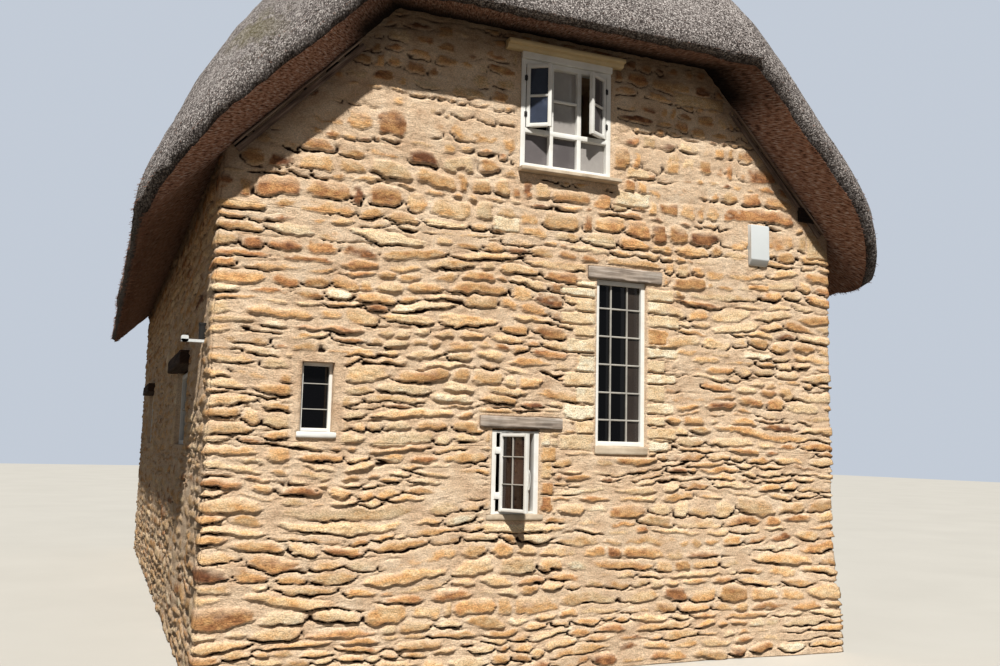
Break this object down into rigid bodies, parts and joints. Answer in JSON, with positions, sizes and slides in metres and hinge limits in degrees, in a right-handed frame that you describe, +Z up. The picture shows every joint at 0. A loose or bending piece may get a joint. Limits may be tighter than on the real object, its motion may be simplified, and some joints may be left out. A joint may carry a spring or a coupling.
{
  "type": "thatched stone cottage",
  "caption": "Rubble-stone cottage under a thick half-hipped thatched roof, hollow, with small framed windows, oak lintels and a plank door.",
  "frame": {"origin": "on the ground under the middle of the roof, midway between the two gables; the walls stand 2.583 m to its left and 2.667 m to its right", "axes": "+Z up; -Y out of the front gable, the one with four windows; +X to the right as that gable is seen from outside"},
  "size_m": [6.25, 10.428, 7.3564],
  "materials": {
    "rubble_stone": "coursed golden ironstone rubble in pale lime mortar",
    "floor_stone": "worn stone flags",
    "floor_boards": "old waxed boards",
    "thatch": "weathered grey-brown straw and reed",
    "grey_oak": "silvered bare oak",
    "dark_oak": "dark stained oak",
    "white_paint": "white gloss paint on timber",
    "cream_paint": "cream paint on moulded timber",
    "pale_stone": "pale dressed limestone",
    "window_glass": "clear glass over a dark room",
    "case_white": "white moulded plastic",
    "lamp_black": "black painted metal"
  },
  "bodies": {
    "root": {"front_wall": "rubble_stone", "rear_wall": "rubble_stone", "left_wall": "rubble_stone", "right_wall": "rubble_stone", "ground_floor": "floor_stone", "upper_floor": "floor_boards", "thatch_coat": "thatch", "thatch_ridge": "thatch", "front_left_verge_board": "grey_oak", "front_right_verge_board": "grey_oak", "rear_left_verge_board": "grey_oak", "rear_right_verge_board": "grey_oak", "front_upper_window_frame": "white_paint", "front_upper_window_glass": "window_glass", "front_upper_window_left_casement": "white_paint", "front_upper_window_right_casement": "white_paint", "front_upper_window_sill": "pale_stone", "front_upper_window_hood": "cream_paint", "front_tall_window_frame": "white_paint", "front_tall_window_glass": "window_glass", "front_tall_window_lintel": "grey_oak", "front_tall_window_sill": "pale_stone", "front_low_window_frame": "white_paint", "front_low_window_casement": "white_paint", "front_low_window_lintel": "grey_oak", "front_low_window_sill": "pale_stone", "front_small_window_frame": "white_paint", "front_small_window_glass": "window_glass", "front_small_window_sill": "white_paint", "left_front_window_frame": "white_paint", "left_front_window_glass": "window_glass", "left_front_window_lintel": "dark_oak", "left_rear_window_frame": "white_paint", "left_rear_window_glass": "window_glass", "left_rear_window_lintel": "dark_oak", "right_front_window_frame": "white_paint", "right_front_window_glass": "window_glass", "right_front_window_lintel": "dark_oak", "right_rear_window_frame": "white_paint", "right_rear_window_glass": "window_glass", "right_rear_window_lintel": "dark_oak", "rear_upper_window_frame": "white_paint", "rear_upper_window_glass": "window_glass", "rear_upper_window_left_casement": "white_paint", "rear_upper_window_right_casement": "white_paint", "rear_upper_window_sill": "pale_stone", "rear_upper_window_hood": "cream_paint", "door_frame": "white_paint", "door_leaf": "dark_oak", "door_lintel": "dark_oak", "alarm_box": "case_white", "wall_lamp": "lamp_black"}
  },
  "joints": []
}
